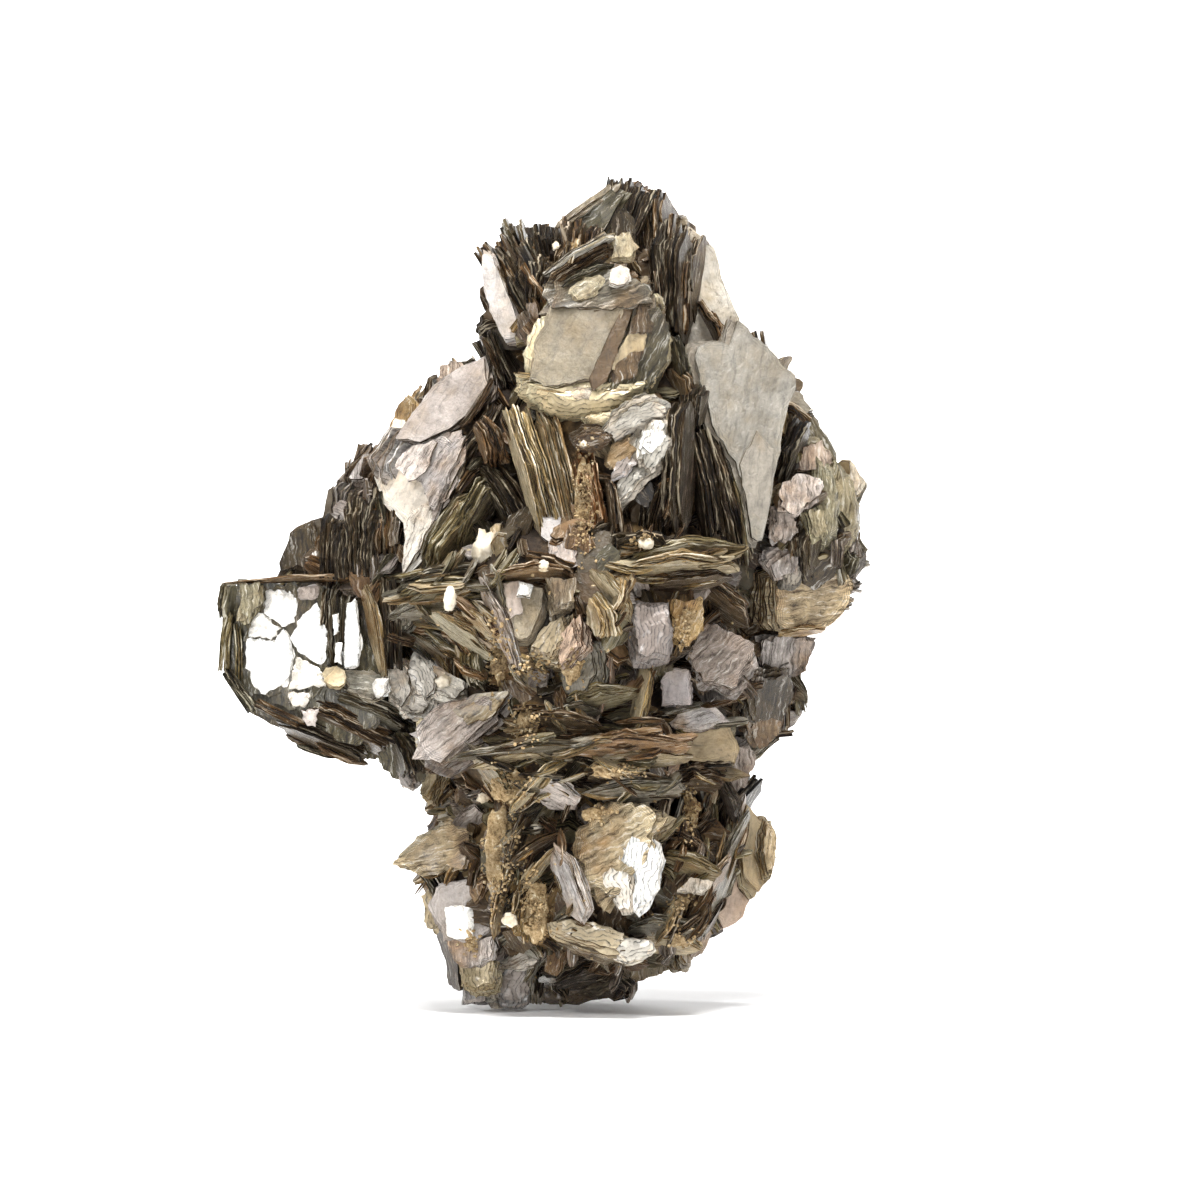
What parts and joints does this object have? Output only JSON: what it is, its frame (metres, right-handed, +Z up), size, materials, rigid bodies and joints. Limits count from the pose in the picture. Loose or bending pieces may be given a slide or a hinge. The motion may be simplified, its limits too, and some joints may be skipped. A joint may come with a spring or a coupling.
{
  "type": "muscovite cluster",
  "caption": "Intergrown cluster of layered mica books with pearly flat faces and ragged striped edges, standing upright on a flat broken foot.",
  "frame": {"origin": "middle of the flat break that the cluster stands on", "axes": "+Z up along the cluster's height, -Y towards the front with the big silver book and the pale cap, +X to the right seen from the front"},
  "size_m": [0.1182, 0.088, 0.1493],
  "materials": {
    "mica": "pearly, layered"
  },
  "bodies": {
    "root": {"muscovite_cluster": "mica"}
  },
  "joints": []
}
